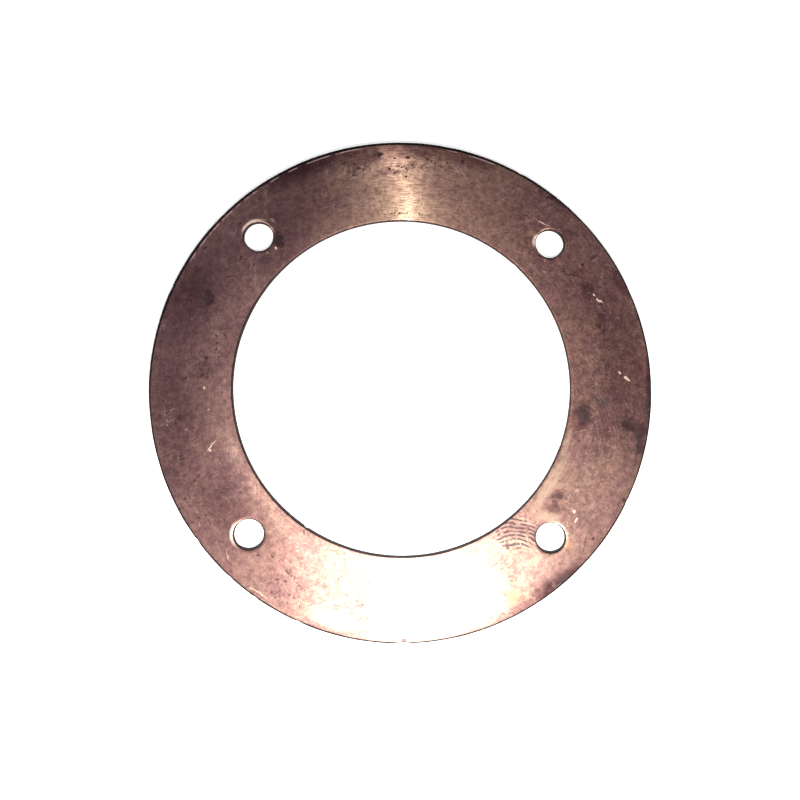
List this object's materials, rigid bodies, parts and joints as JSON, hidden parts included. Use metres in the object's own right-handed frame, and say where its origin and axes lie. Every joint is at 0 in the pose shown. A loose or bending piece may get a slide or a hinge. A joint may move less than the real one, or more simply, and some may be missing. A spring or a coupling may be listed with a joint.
{
  "type": "flat washer",
  "caption": "Thin flat ring washer blanked from copper sheet, with a wide central bore and small screw holes spaced evenly around its face.",
  "frame": {"origin": "centre of the bore at the lower face, which is the face that the washer lies on", "axes": "+Z along the bore axis, out of the upper face, which has the rounded edges and the dished hole rims; +X and +Y lie midway between neighbouring screw holes"},
  "size_m": [0.058, 0.058, 0.0006],
  "materials": {
    "copper": "satin"
  },
  "bodies": {
    "root": {"washer_ring": "copper"}
  },
  "joints": []
}
